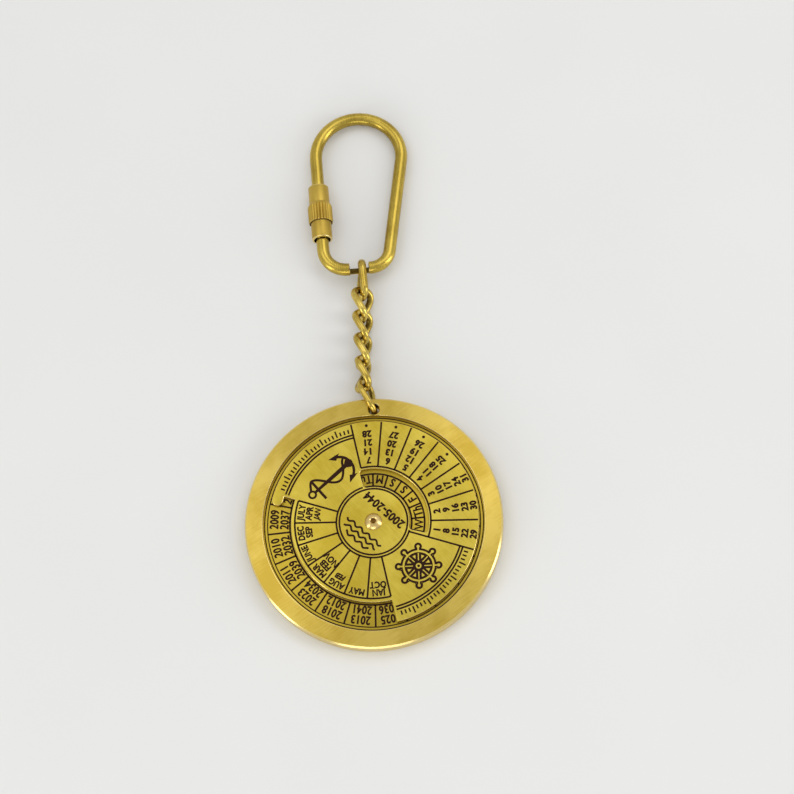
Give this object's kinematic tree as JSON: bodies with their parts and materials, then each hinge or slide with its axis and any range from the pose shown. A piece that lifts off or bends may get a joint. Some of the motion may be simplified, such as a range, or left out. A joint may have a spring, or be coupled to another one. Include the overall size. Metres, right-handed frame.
{
  "type": "perpetual calendar keyring",
  "caption": "Round brass perpetual calendar whose engraved dial turns in a recessed body, on a twisted-link chain with a D-shaped clip closed by a screw sleeve.",
  "frame": {"origin": "on the pivot's axis, at the back face of the body", "axes": "+Z out of the dial's face along the pivot, +Y from the pivot to the ring's hole and on along the chain, +X to the right"},
  "size_m": [0.05, 0.1133, 0.0077],
  "materials": {
    "body_brass": "turned and satin brushed",
    "dial_brass": "fine brushed and lacquered",
    "rivet_brass": "polished",
    "washer_bronze": "plain spring strip",
    "chain_brass": "tumbled wire, lightly toned",
    "clip_brass": "drawn rod, lightly toned",
    "sleeve_brass": "turned and fluted",
    "black_enamel": "baked enamel in engraved lines"
  },
  "bodies": {
    "calendar": {"calendar_body": "body_brass", "body_line_fill": "black_enamel", "pivot_rivet": "rivet_brass", "friction_washer": "washer_bronze"},
    "dial": {"calendar_dial": "dial_brass", "dial_line_fill": "black_enamel"},
    "rim_ring": {"rim_ring": "chain_brass"},
    "chain_link_1": {"chain_link_1": "chain_brass"},
    "chain_link_2": {"chain_link_2": "chain_brass"},
    "chain_link_3": {"chain_link_3": "chain_brass"},
    "chain_link_4": {"chain_link_4": "chain_brass"},
    "hanger_link": {"hanger_link": "chain_brass"},
    "clip": {"clip_rod": "clip_brass"},
    "sleeve": {"screw_sleeve": "sleeve_brass"}
  },
  "joints": [
    {"name": "dial_turn", "type": "hinge", "parent": "calendar", "child": "dial", "pos_m": [0, 0, 0.0025], "axis": [0, 0, 1], "continuous": true},
    {"name": "ring_swing", "type": "hinge", "parent": "calendar", "child": "rim_ring", "pos_m": [-0.0007, 0.02468, 0.0015], "axis": [0.9397, 0.342, 0], "range_deg": [-35, 35]},
    {"name": "link_1_swing", "type": "hinge", "parent": "rim_ring", "child": "chain_link_1", "pos_m": [-0.00222, 0.02884, 0.0015], "axis": [-0.4698, -0.171, 0.866], "range_deg": [-25, 25]},
    {"name": "link_2_swing", "type": "hinge", "parent": "chain_link_1", "child": "chain_link_2", "pos_m": [-0.00228, 0.03224, 0.00137], "axis": [0.6685, 0.0402, 0.7426], "range_deg": [-18, 18]},
    {"name": "link_3_swing", "type": "hinge", "parent": "chain_link_2", "child": "chain_link_3", "pos_m": [-0.00239, 0.03873, 0.00112], "axis": [-0.7435, 0.0127, 0.6686], "range_deg": [-18, 18]},
    {"name": "link_4_swing", "type": "hinge", "parent": "chain_link_3", "child": "chain_link_4", "pos_m": [-0.00245, 0.04215, 0.00099], "axis": [0.4377, 0.0421, 0.8981], "range_deg": [-18, 18]},
    {"name": "hanger_swing", "type": "hinge", "parent": "chain_link_4", "child": "hanger_link", "pos_m": [-0.00256, 0.04864, 0.00074], "axis": [-0.899, 0.0011, 0.438], "range_deg": [-25, 25]},
    {"name": "clip_swing", "type": "hinge", "parent": "hanger_link", "child": "clip", "pos_m": [-0.00263, 0.05276, 0.00058], "axis": [0.9949, 0.085, -0.055], "range_deg": [-80, 80]},
    {"name": "sleeve_travel", "type": "slide", "parent": "clip", "child": "sleeve", "axis": [-0.0885, 0.9939, -0.0661], "range_m": [0, 0.005]}
  ]
}
